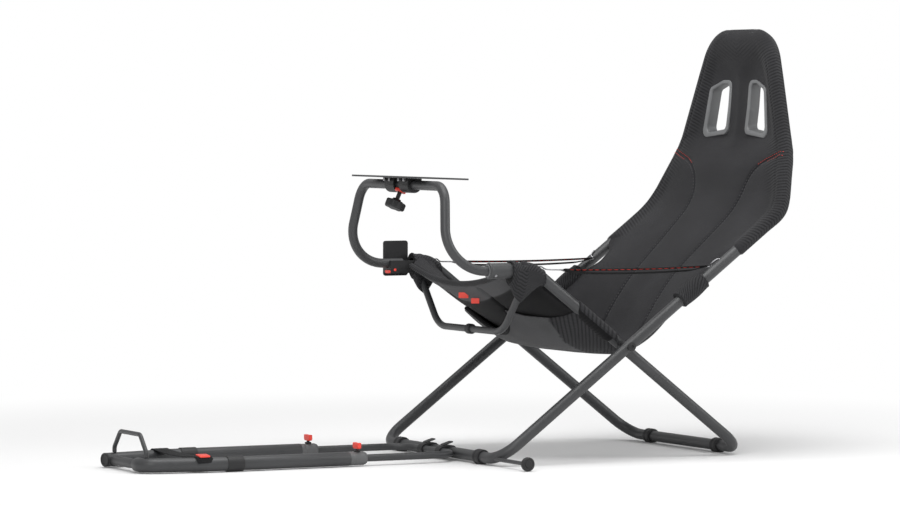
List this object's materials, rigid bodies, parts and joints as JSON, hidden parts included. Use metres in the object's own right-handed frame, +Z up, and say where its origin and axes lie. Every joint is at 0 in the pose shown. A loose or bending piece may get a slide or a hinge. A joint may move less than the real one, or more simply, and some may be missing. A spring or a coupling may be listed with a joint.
{
  "type": "folding racing simulator seat",
  "caption": "Folding sling seat for racing games: crossed tube frames, padded back with headrest openings, a swing-over wheel bar with a tilting plate and a sliding pedal rail.",
  "frame": {"origin": "centre of the bounding box, at floor level", "axes": "+Z up, +X to the driver's left, the driver faces -Y along the pedal rail"},
  "size_m": [0.752, 1.6285, 0.9922],
  "materials": {
    "tube_paint": "satin",
    "light_collar": "satin",
    "black_plastic": "matte",
    "red_plastic": "satin",
    "bolt_steel": "satin",
    "seat_fabric": "matte",
    "side_mesh": "matte",
    "foam_cover": "matte",
    "webbing": "matte",
    "plate_paint": "satin"
  },
  "bodies": {
    "back_frame": {"front_cross_tube": "tube_paint", "left_front_leg": "tube_paint", "right_front_leg": "tube_paint", "left_front_foot": "black_plastic", "right_front_foot": "black_plastic", "back_hoop": "tube_paint", "left_pivot_pin": "bolt_steel", "right_pivot_pin": "bolt_steel", "lower_back_sling": "seat_fabric", "backrest_cover": "seat_fabric", "left_vent": "light_collar", "right_vent": "light_collar", "left_back_loop": "side_mesh", "right_back_loop": "side_mesh", "left_side_strap": "webbing", "right_side_strap": "webbing"},
    "seat_frame": {"rear_cross_tube": "tube_paint", "left_rear_leg": "tube_paint", "right_rear_leg": "tube_paint", "left_rear_foot": "black_plastic", "right_rear_foot": "black_plastic", "left_seat_brace": "tube_paint", "right_seat_brace": "tube_paint", "brace_coupler": "black_plastic", "left_pivot_spacer": "black_plastic", "right_pivot_spacer": "black_plastic", "bar_socket": "light_collar", "bar_bush": "black_plastic", "bar_cradle": "black_plastic", "cradle_plate": "black_plastic", "seat_sling": "seat_fabric", "left_knee_pocket": "side_mesh", "right_knee_pocket": "side_mesh"},
    "wheel_bar": {"wheel_bar": "tube_paint"},
    "wheel_plate": {"wheel_plate": "plate_paint", "left_saddle": "black_plastic", "right_saddle": "black_plastic", "left_clamp_cap": "black_plastic", "right_clamp_cap": "black_plastic", "lock_ring": "red_plastic"},
    "clamp_knob": {"clamp_knob": "black_plastic"},
    "bar_latch": {"bar_latch": "red_plastic"},
    "pedal_slider": {"pedal_slider": "tube_paint", "left_rail_hook": "black_plastic", "right_rail_hook": "black_plastic"},
    "pedal_rail": {"left_rail": "foam_cover", "right_rail": "foam_cover", "left_collar": "light_collar", "right_collar": "light_collar", "left_band": "webbing", "right_band": "webbing", "cross_rail": "tube_paint", "rail_end_cap": "black_plastic", "pedal_hoop": "tube_paint", "heel_strap": "webbing", "strap_tab": "red_plastic"},
    "left_rail_screw": {"left_rail_screw": "red_plastic"},
    "right_rail_screw": {"right_rail_screw": "red_plastic"},
    "stabiliser": {"stabiliser_rod": "bolt_steel", "stabiliser_foot": "black_plastic"}
  },
  "joints": [
    {"name": "seat_fold", "type": "hinge", "parent": "back_frame", "child": "seat_frame", "pos_m": [-0.06, 0.32296, 0.264], "axis": [-1, 0, 0], "range_deg": [0, 80], "deforming": ["left_side_strap", "right_side_strap"]},
    {"name": "bar_swing", "type": "hinge", "parent": "seat_frame", "child": "wheel_bar", "pos_m": [0.2018, -0.02204, 0.441], "axis": [0, 1, 0], "range_deg": [0, 100]},
    {"name": "plate_tilt", "type": "hinge", "parent": "wheel_bar", "child": "wheel_plate", "pos_m": [-0.06, -0.10554, 0.632], "axis": [1, 0, 0], "range_deg": [-20, 20]},
    {"name": "knob_turn", "type": "hinge", "parent": "wheel_plate", "child": "clamp_knob", "pos_m": [-0.06, -0.10554, 0.632], "axis": [0, -0.4067, -0.9135], "range_deg": [0, 720]},
    {"name": "latch_turn", "type": "hinge", "parent": "seat_frame", "child": "bar_latch", "pos_m": [-0.3218, -0.01704, 0.421], "axis": [0, 1, 0], "range_deg": [0, 70]},
    {"name": "pedal_fold", "type": "hinge", "parent": "back_frame", "child": "pedal_slider", "pos_m": [-0.06, -0.00855, 0.016], "axis": [-1, 0, 0], "range_deg": [0, 60]},
    {"name": "pedal_slide", "type": "slide", "parent": "pedal_slider", "child": "pedal_rail", "axis": [0, -1, 0], "range_m": [-0.12, 0.1]},
    {"name": "left_screw_turn", "type": "hinge", "parent": "pedal_rail", "child": "left_rail_screw", "pos_m": [0.07, -0.28604, 0.01755], "axis": [0, 0, 1], "range_deg": [0, 360]},
    {"name": "right_screw_turn", "type": "hinge", "parent": "pedal_rail", "child": "right_rail_screw", "pos_m": [-0.19, -0.28604, 0.01755], "axis": [0, 0, 1], "range_deg": [0, 360]},
    {"name": "stabiliser_slide", "type": "slide", "parent": "back_frame", "child": "stabiliser", "axis": [1, 0, 0], "range_m": [-0.1, 0]}
  ]
}
